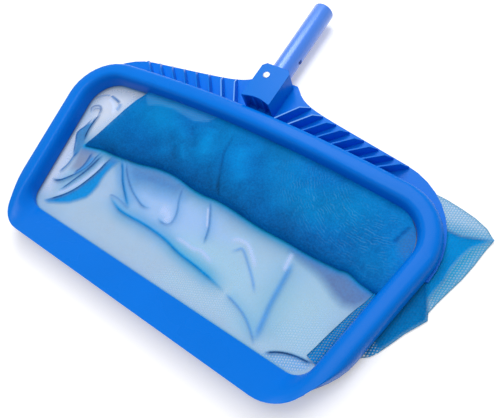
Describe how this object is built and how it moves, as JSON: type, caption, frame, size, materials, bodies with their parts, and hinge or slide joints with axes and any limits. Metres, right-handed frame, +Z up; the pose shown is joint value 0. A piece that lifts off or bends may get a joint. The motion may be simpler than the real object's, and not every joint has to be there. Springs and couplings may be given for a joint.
{
  "type": "leaf skimmer net",
  "caption": "Wide pool leaf rake: moulded frame with an upturned scoop lip, ribbed yoke and riveted handle tube, holding a fine knitted bag folded into its mouth.",
  "frame": {"origin": "on the floor under the middle of the mouth, on the bag's flat underside", "axes": "+X across the mouth, +Y towards the handle's free end, +Z up out of the mouth"},
  "size_m": [0.5914, 0.4582, 0.0382],
  "materials": {
    "frame_plastic": "satin gloss injection moulding",
    "handle_lacquer": "blue anodised or lacquered aluminium tube",
    "rivet_aluminium": "bright blind rivet",
    "mandrel_steel": "snapped stub",
    "knitted_net": "fine knitted polyester mesh",
    "cord_plastic": "extruded round cord",
    "strip_plastic": "extruded strip"
  },
  "bodies": {
    "root": {"frame": "frame_plastic", "handle_tube": "handle_lacquer", "rivet_body": "rivet_aluminium", "rivet_mandrel": "mandrel_steel", "net_bag": "knitted_net", "hem_sleeve": "knitted_net", "bead_cord": "cord_plastic", "front_strip": "strip_plastic", "left_strip": "strip_plastic", "right_strip": "strip_plastic", "back_strip": "strip_plastic", "front_left_corner_strip": "strip_plastic", "front_right_corner_strip": "strip_plastic", "back_left_corner_strip": "strip_plastic", "back_right_corner_strip": "strip_plastic"}
  },
  "joints": []
}
